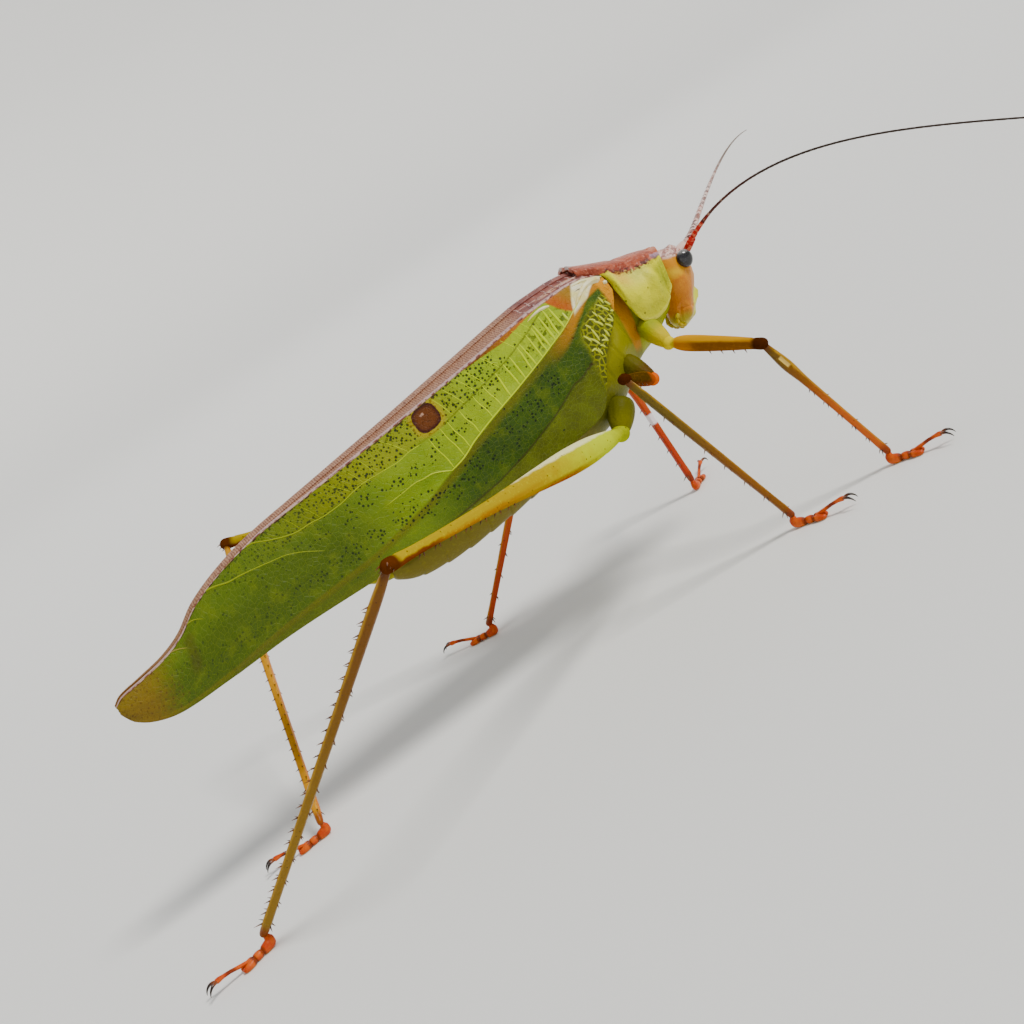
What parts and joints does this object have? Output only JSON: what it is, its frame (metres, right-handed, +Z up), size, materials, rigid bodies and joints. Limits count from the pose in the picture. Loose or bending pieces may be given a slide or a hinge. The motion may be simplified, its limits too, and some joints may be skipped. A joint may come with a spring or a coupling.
{
  "type": "long-horned grasshopper",
  "caption": "A leaf-winged bush katydid standing on six long thin legs, with long thread-like feelers swept forward and leaf-shaped green wings folded like a roof over its back.",
  "frame": {"origin": "on the floor, under the centre of the whole insect's box, feelers and feet included", "axes": "+X the way the insect faces, +Y its left, +Z up"},
  "size_m": [0.12, 0.115, 0.0304],
  "materials": {
    "face": "satin cuticle, orange cheeks and a pinkish-brown crown",
    "eye": "glossy compound eye, dark slate",
    "mouth": "satin cuticle, orange with pale yellow edges",
    "palp": "satin cuticle, yellow-green",
    "feeler": "satin, red at the root and dark beyond",
    "pronotum": "grained cuticle, rusty purple-brown disc, yellow-green side lobes",
    "thorax": "satin cuticle, yellow-green to olive",
    "abdomen": "satin cuticle, olive",
    "tail": "satin cuticle, olive",
    "wing": "satin, leaf-green with raised pale veins and a purple-brown back",
    "hindwing": "satin membrane, straw",
    "fore_leg": "satin cuticle, orange",
    "mid_leg": "satin cuticle, orange to olive-brown",
    "hind_leg": "satin cuticle, yellow to orange",
    "shin": "satin cuticle, olive-brown to orange",
    "foot": "satin cuticle, reddish",
    "claw": "hard glossy horn, near black"
  },
  "bodies": {
    "root": {"abdomen": "abdomen", "antenna_left_1": "feeler", "antenna_left_2": "feeler", "antenna_left_3": "feeler", "antenna_left_scape": "feeler", "antenna_right_1": "feeler", "antenna_right_2": "feeler", "antenna_right_3": "feeler", "antenna_right_scape": "feeler", "cercus_left": "tail", "cercus_right": "tail", "claws_fore_left": "claw", "claws_fore_right": "claw", "claws_hind_left": "claw", "claws_hind_right": "claw", "claws_mid_left": "claw", "claws_mid_right": "claw", "coxa_fore_left": "fore_leg", "coxa_fore_right": "fore_leg", "coxa_hind_left": "hind_leg", "coxa_hind_right": "hind_leg", "coxa_mid_left": "mid_leg", "coxa_mid_right": "mid_leg", "eye_left": "eye", "eye_right": "eye", "femur_fore_left": "fore_leg", "femur_fore_right": "fore_leg", "femur_hind_left": "hind_leg", "femur_hind_right": "hind_leg", "femur_mid_left": "mid_leg", "femur_mid_right": "mid_leg", "head": "face", "hindwing_left": "hindwing", "hindwing_right": "hindwing", "mouthparts": "mouth", "palps_left": "palp", "palps_right": "palp", "pronotum": "pronotum", "subgenital_plate": "tail", "tarsus_fore_left": "foot", "tarsus_fore_right": "foot", "tarsus_hind_left": "foot", "tarsus_hind_right": "foot", "tarsus_mid_left": "foot", "tarsus_mid_right": "foot", "tegmen_left": "wing", "tegmen_right": "wing", "thorax": "thorax", "tibia_fore_left": "shin", "tibia_fore_right": "shin", "tibia_hind_left": "shin", "tibia_hind_right": "shin", "tibia_mid_left": "shin", "tibia_mid_right": "shin"}
  },
  "joints": []
}
